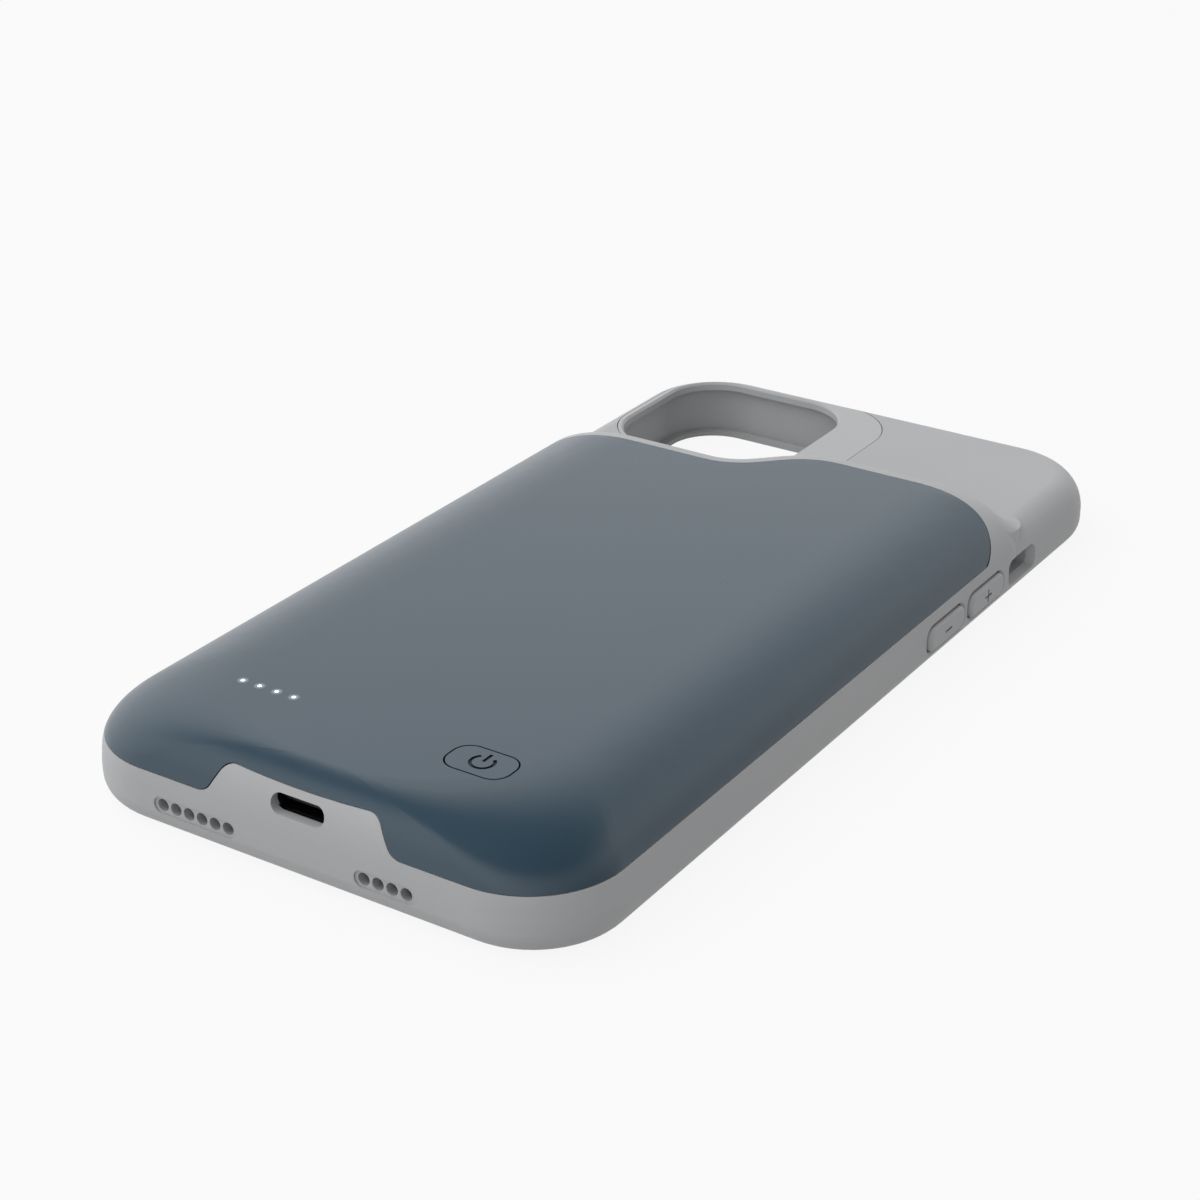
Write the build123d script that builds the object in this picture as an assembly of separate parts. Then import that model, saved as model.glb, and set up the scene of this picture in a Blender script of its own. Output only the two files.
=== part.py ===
from build123d import *
from math import cos, radians, sin
import os

# Battery charging case, lying on its screen lip with the back up.
# Millimetres. X points to the volume keys, Y to the camera end, Z out of the back.
# The origin is below the middle of the case, on the plane of the lip.

# Bay between the lip and the back
bay_width = 72.0
bay_length = 147.2
bay_depth = 7.75
bay_corner = 9.4

# Soft frame walls
side_wall = 3.28
top_wall = 2.0
chin_length = 6.2
lip_thickness = 0.75
lip_overlap = 1.3
panel_thickness = 1.4
case_corner = 13.2
lip_edge_radius = 3.3
panel_side_run = 4.5
panel_end_run = 3.0
panel_corner_drop = 3.0
panel_angles = (0, 15, 30, 45, 60, 75, 90)

# Battery bulge: stack from the bay outwards
tray_thickness = 0.8
tape_thickness = 0.10
cell_thickness = 3.8
swell_gap = 0.30
cover_wall = 1.5
tray_rest = 0.7
tray_end_gap = 3.1

# Battery bulge: outer form
shoulder_run = 16.3
shoulder_power = 2.5
end_run = 5.7
rim_run = 2.6
rim_strip = 1.2
flat_corner = 19.5
corner_growth = 5.0
rim_corner = 4.0
section_angles = (0, 15, 30, 45, 58, 70, 79, 85, 90)

# Hollow sweep from the rim down to the panel
root_reach = 7.7
root_run = 4.9
root_height = 4.35
root_sink = 0.05
root_corner = 4.5
root_base_corner = 9.0
root_angles = (20, 35, 50, 65, 78, 90)
root_length = 30.0

# Upper edge of the cover: a low ridge, an S-step and a high ridge
ridge_gap = 9.3
ridge_rise = 9.55
step_radius = 11.0
step_angle = 45.0
step_x = 0.0
cover_corner_large = 28.8
cover_corner_small = 8.25
cover_corner_turn = 21.0
cover_side_inset = 0.06
seam_gap = 0.12

# Tab at the bottom end, with the charging port
tab_base_half = 14.4
tab_top_half = 11.6
tab_height = 4.6
tab_sag = 0.4
tab_corner = 2.4
port_height = 1.9
port_opening_width = 8.3
port_opening_height = 2.7
port_shell_width = 8.7
port_shell_height = 2.9
port_shell_length = 7.3
port_shell_wall = 0.25
port_tongue_width = 6.7
port_tongue_thickness = 0.7
port_tongue_setback = 0.8
port_back_wall = 0.8
port_setback = 1.4
port_room = 0.1

# Camera window and its surround plate
window_side_margin = 8.45
window_low_margin = 1.55
window_corner = 11.0
surround_seam = 0.14
surround_drop = 0.05
surround_flange_width = 1.5
surround_flange_thickness = 0.4
camera_hole_width = 30.4
camera_hole_height = 30.2
camera_hole_margin = 1.35
camera_hole_corner = 8.7
camera_hole_chamfer = 0.35

# Keys on the long sides
key_height = 3.6
key_length = 11.2
key_spacing = 13.0
key_from_top = 49.0
key_corner = 1.5
key_slot_gap = 0.2
key_mouth_flare = 0.45
key_proud = 0.4
key_edge = 0.7
key_flange_height = 6.0
key_flange_thickness = 0.9
key_flange_reach = 0.45
key_flange_gap = 0.15
key_pocket_depth = 1.4
side_key_length = 16.0
side_key_from_top = 48.7

# Slanted window beside the plus key
switch_window_from_top = 30.0
switch_window_length = 9.4
switch_window_height = 4.2
switch_window_taper = 0.7
switch_window_step = 1.3

# Sound outlets at the bottom end
sound_hole_diameter = 1.75
sound_hole_spacing = 2.12
left_sound_x = 11.1
right_sound_x = 10.1
left_sound_count = 6
right_sound_count = 4
sound_recess_height = 2.4
sound_recess_margin = 0.5
sound_recess_depth = 0.25
sound_wall = 1.6
sound_z_drop = 0.35

# Power button and lights in the cover
button_x = 16.65
button_from_end = 15.8
button_width = 9.1
button_depth = 5.8
button_corner = 2.3
button_gap = 0.25
button_flange_reach = 0.9
button_flange_thickness = 0.5
button_flange_gap = 0.2
button_stem_diameter = 2.4
button_travel = 0.35
light_count = 4
light_spacing = 2.8
light_mid_x = -17.2
light_from_end = 16.3
light_pin_diameter = 0.8
light_pin_gap = 0.05
light_bar_width = 2.0
light_bar_thickness = 0.9
light_bar_corner = 0.9
light_foot_diameter = 1.2
led_length = 1.6
led_width = 0.8
led_height = 0.55

# Circuit boards
board_thickness = 0.8
board_half_width = 25.0
board_depth = 16.7
board_end_gap = 3.5
board_corner = 2.0
board_lift = 0.65
post_diameter = 3.0
post_x = 22.0
post_inset = 2.7
stake_diameter = 1.2
stake_clearance = 0.1
stake_above = 0.3
switch_length = 4.2
switch_width = 3.2
switch_height = 0.8
switch_plunger_diameter = 1.6
switch_rest_gap = 0.40
controller_size = 4.0
controller_height = 0.85
controller_x = -5.5
inductor_size = 5.0
inductor_height = 2.0
inductor_x = 4.5
inductor_corner = 0.9
part_row_from_top = 4.0
capacitor_length = 1.6
capacitor_width = 0.8
capacitor_height = 0.8
capacitor_count = 5
capacitor_spacing = 2.0
capacitor_x = 8.0
capacitor_row_from_top = 10.5
solder_gap = 0.02

# Battery cell with its small board and leads
cell_half_width = 27.0
cell_top_gap = 2.2
cell_corner = 2.0
cell_edge = 1.2
protection_length = 40.0
protection_depth = 3.8
protection_gap = 0.1
lead_run = 2.7
lead_diameter = 0.9
lead_x = (-12.5, -10.5)
lead_lift = 0.05
lead_landing = 2.2

# Plug that reaches into the bay
plug_width = 6.7
plug_thickness = 1.5
plug_length = 6.6
plug_tip = 0.6
plug_slot_gap = 0.2
contact_count = 8
contact_spacing = 0.76
contact_width = 0.42
contact_length = 3.4
contact_depth = 0.08
contact_tip_gap = 0.9
carrier_half_width = 8.2
carrier_height = 3.6
carrier_gap = 0.1
pocket_wall_outer = 1.7
pocket_wall_inner = 1.2
pocket_depth_below = 2.2
flex_width = 2.8
flex_x = 6.6
flex_thickness = 0.25
flex_landing = 2.4

# How far a cut runs past the face that it opens
cut_past = 1.0

# Sizes worked out from the values above
bay_ceiling = lip_thickness + bay_depth
bay_mid_z = lip_thickness + bay_depth / 2
case_width = bay_width + 2 * side_wall
case_length = bay_length + top_wall + chin_length
half_width = case_width / 2
end_y = -case_length / 2
far_y = case_length / 2
bay_end_y = end_y + chin_length
bay_far_y = far_y - top_wall
bay_mid_y = (bay_end_y + bay_far_y) / 2
panel_top = bay_ceiling + panel_thickness
tray_top = bay_ceiling + tray_thickness
cell_floor = tray_top + tape_thickness
cover_ceiling = cell_floor + cell_thickness + swell_gap
case_height = cover_ceiling + cover_wall
bulge_base = bay_mid_z
seam_z = bay_ceiling
window_bottom = bay_far_y - camera_hole_margin - camera_hole_height - window_low_margin
window_right = camera_hole_margin + camera_hole_width + window_side_margin - bay_width / 2
ridge_left = window_bottom - ridge_gap
ridge_right = ridge_left + ridge_rise
key_mid_y = bay_far_y - key_from_top
side_key_y = bay_far_y - side_key_from_top
switch_window_y = bay_far_y - switch_window_from_top
step_straight = (ridge_rise - 2 * step_radius * (1 - cos(radians(step_angle)))) / sin(radians(step_angle))
step_half_run = step_radius * sin(radians(step_angle)) + step_straight * cos(radians(step_angle)) / 2
board_floor = tray_top + board_lift
board_top = board_floor + board_thickness
board_end_y = end_y + board_end_gap
board_far_y = board_end_y + board_depth
protection_low_y = board_far_y + lead_run
cell_end_y = protection_low_y + protection_depth + protection_gap
cell_length = ridge_left - cell_top_gap - cell_end_y
port_z = bay_ceiling + port_height
tab_top_z = seam_z + tab_height
sound_z = bay_mid_z - sound_z_drop
root_end_y = ridge_left - root_length
tray_half_width = bay_width / 2 + tray_rest
tray_end_y = end_y + tray_end_gap


def rounded_block(width, length, corner, bottom, top, x=0.0, y=0.0):
    """Upright block with rounded vertical corners."""
    outline = Pos(x, y, bottom) * RectangleRounded(width, length, corner)
    return extrude(outline, top - bottom)


def block(x_low, x_high, y_low, y_high, z_low, z_high):
    """Plain block between two opposite corners."""
    middle = Pos((x_low + x_high) / 2, (y_low + y_high) / 2, (z_low + z_high) / 2)
    return middle * Box(x_high - x_low, y_high - y_low, z_high - z_low)


def ridge_edges(offset):
    """S-step between the two ridges, moved outwards by offset, from right to left."""
    low_middle = Vector(step_x - step_half_run, ridge_left + step_radius)
    high_middle = Vector(step_x + step_half_run, ridge_right - step_radius)
    high_arc = CenterArc(high_middle, step_radius + offset, 90, step_angle)
    low_arc = CenterArc(low_middle, step_radius - offset, step_angle - 90, -step_angle)
    return [high_arc, Line(high_arc @ 1, low_arc @ 0), low_arc]


def bulge_outline(half, end, corner, offset, upper=rim_corner):
    """Plan of the bulge: straight sides, and an S-stepped upper edge with corners of radius upper."""
    step = ridge_edges(offset)
    right_y = ridge_right + offset
    left_y = ridge_left + offset
    edges = [
        Line((-half + corner, end), (half - corner, end)),
        CenterArc((half - corner, end + corner), corner, -90, 90),
        Line((half, end + corner), (half, right_y - upper)),
        CenterArc((half - upper, right_y - upper), upper, 0, 90),
        Line((half - upper, right_y), step[0] @ 0),
        *step,
        Line(step[2] @ 1, (-half + upper, left_y)),
        CenterArc((-half + upper, left_y - upper), upper, 90, 90),
        Line((-half, left_y - upper), (-half, end + corner)),
        CenterArc((-half + corner, end + corner), corner, 180, 90),
    ]
    return make_face(edges)


def shoulder_bow(z):
    """Share of the shoulder's run that is left at a height of the bulge."""
    rise = (z - bulge_base) / (case_height - bulge_base)
    return (1 - rise**shoulder_power) ** (1 / shoulder_power)


def bulge_form(inset, top, rim_offsets):
    """Pillow form of the bulge, with full oval shoulders that start half way up the wall, less an inset."""
    flat_half = half_width - shoulder_run
    flat_end = end_y + end_run
    sections = []
    for angle in section_angles:
        bow = cos(radians(angle)) ** (2 / shoulder_power)
        rise = sin(radians(angle)) ** (2 / shoulder_power)
        corner = case_corner + (flat_corner - case_corner) * rise**corner_growth - inset
        outline = bulge_outline(
            flat_half + (shoulder_run - inset) * bow,
            flat_end - (end_run - inset) * bow,
            corner,
            rim_offsets[0] + (rim_offsets[1] - rim_offsets[0]) * bow,
        )
        sections.append(Pos(0, 0, bulge_base + (top - bulge_base) * rise) * outline)
    return loft(sections)


def rim_root():
    """Hollow sweep from the rim to the panel, all the way from side to side."""
    foot_z = panel_top - root_sink
    sections = []
    for angle in root_angles:
        z = foot_z + root_height * (1 - sin(radians(angle)))
        half = half_width - shoulder_run * (1 - shoulder_bow(z)) - root_sink
        offset = root_reach - root_run * cos(radians(angle))
        sections.append(Pos(0, 0, z) * bulge_outline(half, root_end_y, case_corner, offset, root_corner))
    base = bulge_outline(half_width - root_sink, root_end_y, case_corner, root_reach, root_base_corner)
    skirt = loft([Pos(0, 0, bulge_base) * base, sections[-1]], ruled=True)
    return loft(sections) + skirt


def cover_outline(grow):
    """Plan of the cover, open past the sides and the bottom end, grown by grow."""
    beyond = end_y - end_run
    turn = 90 - cover_corner_turn
    large = cover_corner_large + grow
    small = cover_corner_small + grow
    seam_half = half_width - shoulder_run * (1 - shoulder_bow(seam_z))
    side_x = seam_half - cover_side_inset
    apart = cover_corner_large - cover_corner_small
    small_x = side_x - cover_corner_small
    large_x = small_x - apart * cos(radians(turn))
    step = ridge_edges(grow)
    right_y = ridge_right - cover_corner_large
    left_y = ridge_left - cover_corner_large
    right_small_y = right_y + apart * sin(radians(turn))
    left_small_y = left_y + apart * sin(radians(turn))
    right_small = CenterArc((small_x, right_small_y), small, 0, turn)
    right_large = CenterArc((large_x, right_y), large, turn, cover_corner_turn)
    left_large = CenterArc((-large_x, left_y), large, 90, cover_corner_turn)
    left_small = CenterArc((-small_x, left_small_y), small, 90 + cover_corner_turn, turn)
    edges = [
        Line((-side_x - grow, beyond), (side_x + grow, beyond)),
        Line((side_x + grow, beyond), right_small @ 0),
        right_small,
        right_large,
        Line(right_large @ 1, step[0] @ 0),
        *step,
        Line(step[2] @ 1, left_large @ 0),
        left_large,
        left_small,
        Line(left_small @ 1, (-side_x - grow, beyond)),
    ]
    return make_face(edges)


def tab_block(grow):
    """Everything below the seam at the bottom end, with the tab that rises into the cover."""
    reach = half_width + end_run
    seam = seam_z + grow
    top = tab_top_z + grow
    base = tab_base_half + grow
    crest = tab_top_half + grow
    edges = [
        Polyline((-crest, top), (-base, seam), (-reach, seam), (-reach, 0)),
        Line((-reach, 0), (reach, 0)),
        Polyline((reach, 0), (reach, seam), (base, seam), (crest, top)),
        ThreePointArc((crest, top), (0, top - tab_sag), (-crest, top)),
    ]
    outline = make_face(edges)
    rounded = [v for v in outline.vertices() if abs(v.X) < half_width]
    outline = fillet(rounded, tab_corner)
    placed = Plane.XZ.offset(-end_y - end_run) * outline
    return extrude(placed, 2 * end_run)


def cover_zone(grow, bottom):
    """Upright space inside the cover's plan, from bottom upwards."""
    return extrude(Pos(0, 0, bottom) * cover_outline(grow), case_height)


def key_places():
    """Places along the side of the minus and the plus key."""
    return key_mid_y - key_spacing / 2, key_mid_y + key_spacing / 2


def side_plane(x, y):
    """Plane across a side wall, half way up the bay."""
    return Plane(origin=(x, y, bay_mid_z), x_dir=(0, 1, 0), z_dir=(1, 0, 0))


def side_slot(length, height, corner, x_low, x_high, y):
    """Rounded slot through a side wall."""
    return extrude(side_plane(x_low, y) * RectangleRounded(length, height, corner), x_high - x_low)


def end_slot(width, height, y_low, y_high, x, z):
    """Slot with round ends through the bottom end."""
    outline = Plane(origin=(x, y_high, z), x_dir=(1, 0, 0), z_dir=(0, -1, 0)) * SlotOverall(width, height)
    return extrude(outline, y_high - y_low)


def window_block(grow, wall_grow, bottom, top):
    """Camera window: grown by grow at the panel, and by wall_grow at the bay's two walls."""
    left = -bay_width / 2 - wall_grow
    right = window_right + grow
    low = window_bottom - grow
    high = bay_far_y + wall_grow
    return rounded_block(
        right - left,
        high - low,
        window_corner + grow,
        bottom,
        top,
        (left + right) / 2,
        (low + high) / 2,
    )


def sound_row(count, first_x, side):
    """One row of sound holes, with the shallow recess in front and the duct behind."""
    span = (count - 1) * sound_hole_spacing
    middle = side * (first_x + span / 2)
    width = span + sound_hole_diameter + 2 * sound_recess_margin
    duct_y = end_y + sound_wall
    recess_y = end_y + sound_recess_depth
    row = end_slot(width, sound_recess_height, end_y - cut_past, recess_y, middle, sound_z)
    row += end_slot(width, sound_recess_height, duct_y, bay_end_y + cut_past, middle, sound_z)
    for place in range(count):
        x = side * (first_x + place * sound_hole_spacing)
        hole = Pos(x, end_y + sound_wall / 2, sound_z) * Rot(90, 0, 0)
        row += hole * Cylinder(sound_hole_diameter / 2, sound_wall + cut_past)
    return row


def switch_window():
    """Window through the side wall, with slanted cheeks."""
    inner_length = switch_window_length - 2 * switch_window_taper
    inner_height = switch_window_height - 2 * switch_window_taper
    inner = RectangleRounded(inner_length, inner_height, key_corner - switch_window_taper)
    outer = RectangleRounded(switch_window_length, switch_window_height, key_corner)
    inner = side_plane(half_width - switch_window_step, switch_window_y) * inner
    outer = side_plane(half_width, switch_window_y) * outer
    mouth = loft([inner, outer])
    through = side_slot(
        inner_length,
        inner_height,
        key_corner - switch_window_taper,
        bay_width / 2 - cut_past,
        half_width - switch_window_step,
        switch_window_y,
    )
    return mouth + through


def key_mouth(length, y, side):
    """Flared mouth of a key's slot, where the wall rolls into it."""
    sections = []
    for grow in (0, key_mouth_flare):
        gap = key_slot_gap + grow
        outline = RectangleRounded(length + 2 * gap, key_height + 2 * gap, key_corner + gap)
        sections.append(side_plane(side * (half_width - key_mouth_flare + grow), y) * outline)
    return loft(sections)


def key_openings():
    """Slots for the three keys, and the pockets behind that hold their flanges."""
    slot_length = key_length + 2 * key_slot_gap
    slot_height = key_height + 2 * key_slot_gap
    slot_corner = key_corner + key_slot_gap
    pocket_height = key_flange_height + 2 * key_flange_gap
    pocket_x = bay_width / 2 + key_pocket_depth
    flange_ends = key_length / 2 + key_flange_reach + key_flange_gap
    minus_y, plus_y = key_places()
    pocket = block(
        bay_width / 2 - cut_past,
        pocket_x,
        minus_y - flange_ends,
        plus_y + flange_ends,
        bay_mid_z - pocket_height / 2,
        bay_mid_z + pocket_height / 2,
    )
    for y in (minus_y, plus_y):
        pocket += side_slot(slot_length, slot_height, slot_corner, bay_width / 2, half_width + cut_past, y)
        pocket += key_mouth(key_length, y, 1)
    side_ends = side_key_length / 2 + key_flange_reach + key_flange_gap
    pocket += block(
        -pocket_x,
        cut_past - bay_width / 2,
        side_key_y - side_ends,
        side_key_y + side_ends,
        bay_mid_z - pocket_height / 2,
        bay_mid_z + pocket_height / 2,
    )
    side_length = side_key_length + 2 * key_slot_gap
    outside = -half_width - cut_past
    pocket += side_slot(side_length, slot_height, slot_corner, outside, -bay_width / 2, side_key_y)
    pocket += key_mouth(side_key_length, side_key_y, -1)
    return pocket


def plug_pocket():
    """Pocket in the chin for the plug carrier, with the slot that the plug passes."""
    half = carrier_half_width + carrier_gap
    pocket = block(
        -half,
        half,
        end_y + pocket_wall_outer - carrier_gap,
        bay_end_y - pocket_wall_inner + carrier_gap,
        bay_mid_z - pocket_depth_below - carrier_gap,
        bay_ceiling + cut_past,
    )
    slot_width = plug_width + 2 * plug_slot_gap
    slot_height = plug_thickness + 2 * plug_slot_gap
    slot_y = bay_end_y - pocket_wall_inner
    return pocket + end_slot(slot_width, slot_height, slot_y, bay_end_y + cut_past, 0, bay_mid_z)


def band_form():
    """Wall of the case: rounded lip below, and above it the wall that rolls into the panel."""
    lower = rounded_block(case_width, case_length, case_corner, 0, bay_mid_z)
    lower = fillet(lower.edges().group_by(Axis.Z)[0], lip_edge_radius)
    sections = []
    for angle in panel_angles:
        roll = 1 - cos(radians(angle))
        z = bay_mid_z + (panel_top - bay_mid_z) * sin(radians(angle))
        outline = RectangleRounded(
            case_width - 2 * panel_side_run * roll,
            case_length - 2 * panel_end_run * roll,
            case_corner - panel_corner_drop * roll,
        )
        sections.append(Pos(0, 0, z) * outline)
    return lower + loft(sections)


def make_soft_frame(band, bulge, hollow):
    """Moulded bumper: walls and lip round the bay, upper panel, stepped rim and tab."""
    frame = band + bulge + rim_root()
    frame -= cover_zone(seam_gap, seam_z) - tab_block(0)
    frame -= hollow & block(-half_width, half_width, end_y, far_y, bay_ceiling, case_height)
    bay = rounded_block(bay_width, bay_length, bay_corner, lip_thickness, bay_ceiling, 0, bay_mid_y)
    screen = rounded_block(
        bay_width - 2 * lip_overlap,
        bay_length - 2 * lip_overlap,
        bay_corner - lip_overlap,
        -cut_past,
        lip_thickness + cut_past,
        0,
        bay_mid_y,
    )
    frame -= bay + screen
    frame -= tray_form(seam_gap, bay_ceiling, tray_top + seam_gap)
    frame -= window_block(0, 0, bay_ceiling - cut_past, panel_top + cut_past)
    flange_grow = surround_flange_width + surround_seam
    flange_top = bay_ceiling + surround_flange_thickness + surround_seam
    frame -= window_block(flange_grow, 0, bay_ceiling - cut_past, flange_top)
    frame -= key_openings()
    frame -= switch_window()
    frame -= sound_row(left_sound_count, left_sound_x, -1)
    frame -= sound_row(right_sound_count, right_sound_x, 1)
    port_outside = end_y - cut_past
    frame -= end_slot(port_opening_width, port_opening_height, port_outside, end_y + end_run, 0, port_z)
    pocket_width = port_shell_width + port_room
    pocket_height = port_shell_height + port_room
    frame -= end_slot(pocket_width, pocket_height, port_front_y() - port_room, end_y + end_run, 0, port_z)
    frame -= plug_pocket()
    return frame


def tray_form(grow, bottom, top):
    """Plan of the tray, raised between two heights and grown by grow."""
    outline = bulge_outline(
        tray_half_width + grow,
        tray_end_y - grow,
        case_corner - cover_wall,
        grow,
    )
    return extrude(Pos(0, 0, bottom) * outline, top - bottom)


def make_battery_cover(bulge, hollow):
    """Hard shell over the battery, with the button opening and the light holes."""
    cover = (bulge - hollow) & cover_zone(0, seam_z + seam_gap)
    cover -= tab_block(seam_gap)
    cover -= tray_form(seam_gap, seam_z, tray_top + seam_gap)
    cover -= rounded_block(
        button_width + 2 * button_gap,
        button_depth + 2 * button_gap,
        button_corner + button_gap,
        cover_ceiling - cut_past,
        case_height + cut_past,
        button_x,
        end_y + button_from_end,
    )
    for x in light_places():
        pin = Pos(x, end_y + light_from_end, (cover_ceiling + case_height) / 2)
        cover -= pin * Cylinder(light_pin_diameter / 2 + light_pin_gap, cover_wall + cut_past)
    return cover


def light_places():
    """Places of the four lights across the case."""
    first = light_mid_x - light_spacing * (light_count - 1) / 2
    return [first + light_spacing * place for place in range(light_count)]


def make_power_button(bulge):
    """Button cap that follows the cover, with its flange and stem."""
    y = end_y + button_from_end
    flange_top = cover_ceiling - button_flange_gap
    flange_low = flange_top - button_flange_thickness
    cap = rounded_block(
        button_width, button_depth, button_corner, flange_low, case_height + cut_past, button_x, y
    )
    cap = cap & bulge
    flange = rounded_block(
        button_width + 2 * button_flange_reach,
        button_depth + 2 * button_flange_reach,
        button_corner,
        flange_low,
        flange_top,
        button_x,
        y,
    )
    stem_low = board_top + switch_height + switch_rest_gap
    stem_length = flange_top - stem_low
    stem = Pos(button_x, y, stem_low + stem_length / 2)
    return cap + flange + stem * Cylinder(button_stem_diameter / 2, stem_length)


def make_light_guide():
    """Clear guide with a pin and a foot for each light, joined by a bar."""
    y = end_y + light_from_end
    places = light_places()
    bar_top = cover_ceiling - light_pin_gap
    bar_low = bar_top - light_bar_thickness
    length = places[-1] - places[0] + light_bar_width
    guide = rounded_block(length, light_bar_width, light_bar_corner, bar_low, bar_top, light_mid_x, y)
    foot_low = board_top + led_height + 2 * light_pin_gap
    for x in places:
        pin_length = case_height - bar_low
        foot_length = bar_top - foot_low
        guide += Pos(x, y, bar_low + pin_length / 2) * Cylinder(light_pin_diameter / 2, pin_length)
        guide += Pos(x, y, foot_low + foot_length / 2) * Cylinder(light_foot_diameter / 2, foot_length)
    return guide


def make_leds():
    """The four small lamps on the board."""
    y = end_y + light_from_end
    low = board_top + solder_gap
    half = led_width / 2
    y_low = y - led_length / 2
    y_high = y + led_length / 2
    return [block(x - half, x + half, y_low, y_high, low, low + led_height) for x in light_places()]


def make_camera_surround(band):
    """Plate flush in the camera window, with a flange below the frame's panel."""
    bottom = bay_ceiling + solder_gap
    top = panel_top - surround_drop
    plate = window_block(-surround_seam, -surround_seam, bottom, top)
    seat_top = bay_ceiling + surround_flange_thickness
    plate += window_block(surround_flange_width, -surround_seam, bottom, seat_top)
    plate -= camera_hole(bottom - cut_past, top + cut_past)
    rim = plate.faces().sort_by(Axis.Z)[-1].inner_wires()[0].edges()
    plate = chamfer(rim, camera_hole_chamfer)
    return plate & (Pos(0, 0, -surround_drop / 2) * band)


def camera_hole(bottom, top):
    """Camera hole, near the upper left corner of the bay."""
    x = camera_hole_margin + camera_hole_width / 2 - bay_width / 2
    y = bay_far_y - camera_hole_margin - camera_hole_height / 2
    return rounded_block(camera_hole_width, camera_hole_height, camera_hole_corner, bottom, top, x, y)


def make_key(length, y, side):
    """Side key: raised pad through the wall, and the flange that holds it in."""
    pocket_x = bay_width / 2 + key_pocket_depth
    flange_out = pocket_x - key_flange_gap
    flange_in = flange_out - key_flange_thickness
    pad = side_slot(length, key_height, key_corner, flange_in, half_width + key_proud, y)
    pad = fillet(pad.faces().sort_by(Axis.X)[-1].edges(), key_edge)
    flange = block(
        flange_in,
        flange_out,
        y - length / 2 - key_flange_reach,
        y + length / 2 + key_flange_reach,
        bay_mid_z - key_flange_height / 2,
        bay_mid_z + key_flange_height / 2,
    )
    key = pad + flange
    if side < 0:
        key = mirror(key, Plane.YZ)
    return key


def post_places():
    """Places of the four posts that carry the main board."""
    low = board_end_y + post_inset
    high = board_far_y - post_inset
    return [(x, y) for x in (-post_x, post_x) for y in (low, high)]


def make_inner_tray():
    """Plate between bay and battery, with posts and stakes for the main board."""
    tray = tray_form(0, bay_ceiling, tray_top)
    half = port_shell_width / 2 + port_room
    shell_low = port_z - port_shell_height / 2
    back = port_back_y() + port_room
    tray -= block(-half, half, tray_end_y - cut_past, back, shell_low - port_room, tray_top + cut_past)
    stake_top = board_top + stake_above
    for x, y in post_places():
        tray += Pos(x, y, (tray_top + board_floor) / 2) * Cylinder(post_diameter / 2, board_lift)
        tray += Pos(x, y, (tray_top + stake_top) / 2) * Cylinder(stake_diameter / 2, stake_top - tray_top)
    return tray


def port_front_y():
    """Front of the charging port, set back in the opening of the tab."""
    tab_face = end_y + end_run * (1 - shoulder_bow(port_z))
    return tab_face + port_setback


def port_back_y():
    """Back of the charging port, on the board."""
    return port_front_y() + port_shell_length


def make_main_board():
    """Circuit board with a notch for the port and holes for the stakes."""
    board = rounded_block(
        2 * board_half_width,
        board_depth,
        board_corner,
        board_floor,
        board_top,
        0,
        board_end_y + board_depth / 2,
    )
    half = port_shell_width / 2 + port_room
    back = port_back_y() + port_room
    board -= block(-half, half, end_y, back, board_floor - cut_past, board_top + cut_past)
    for x, y in post_places():
        hole = Pos(x, y, board_floor + board_thickness / 2)
        board -= hole * Cylinder(stake_diameter / 2 + stake_clearance, board_thickness + cut_past)
    return board


def make_port_shell():
    """Metal shell of the charging port, closed at the back."""
    front = port_front_y()
    back = port_back_y()
    shell = end_slot(port_shell_width, port_shell_height, front, back, 0, port_z)
    inner_width = port_shell_width - 2 * port_shell_wall
    inner_height = port_shell_height - 2 * port_shell_wall
    return shell - end_slot(inner_width, inner_height, front - cut_past, back - port_back_wall, 0, port_z)


def make_port_tongue():
    """Contact tongue in the middle of the charging port."""
    front = port_front_y() + port_tongue_setback
    back = port_back_y() - port_back_wall
    half = port_tongue_width / 2
    low = port_z - port_tongue_thickness / 2
    return block(-half, half, front, back, low, low + port_tongue_thickness)


def make_power_switch():
    """Flat push switch below the power button."""
    y = end_y + button_from_end
    low = board_top + solder_gap
    body_top = board_top + switch_height - button_travel / 2
    switch = block(
        button_x - switch_length / 2,
        button_x + switch_length / 2,
        y - switch_width / 2,
        y + switch_width / 2,
        low,
        body_top,
    )
    plunger_top = board_top + switch_height
    plunger = Pos(button_x, y, (low + plunger_top) / 2)
    return switch + plunger * Cylinder(switch_plunger_diameter / 2, plunger_top - low)


def board_part(x, y, length, width, height):
    """Small part that stands on the main board."""
    low = board_top + solder_gap
    return block(x - length / 2, x + length / 2, y - width / 2, y + width / 2, low, low + height)


def make_charge_controller():
    """Flat square chip that runs the charging."""
    y = board_far_y - part_row_from_top
    return board_part(controller_x, y, controller_size, controller_size, controller_height)


def make_boost_inductor():
    """Square inductor with rounded upright edges."""
    y = board_far_y - part_row_from_top
    low = board_top + solder_gap
    return rounded_block(
        inductor_size, inductor_size, inductor_corner, low, low + inductor_height, inductor_x, y
    )


def make_board_capacitors():
    """Row of small capacitors beside the inductor."""
    y = board_far_y - capacitor_row_from_top
    places = [capacitor_x + capacitor_spacing * place for place in range(capacitor_count)]
    return [board_part(x, y, capacitor_width, capacitor_length, capacitor_height) for x in places]


def make_battery_cell():
    """Flat pouch cell with rounded edges."""
    cell = rounded_block(
        2 * cell_half_width,
        cell_length,
        cell_corner,
        cell_floor,
        cell_floor + cell_thickness,
        0,
        cell_end_y + cell_length / 2,
    )
    return fillet(cell.edges().group_by(Axis.Z)[-1], cell_edge)


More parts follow.
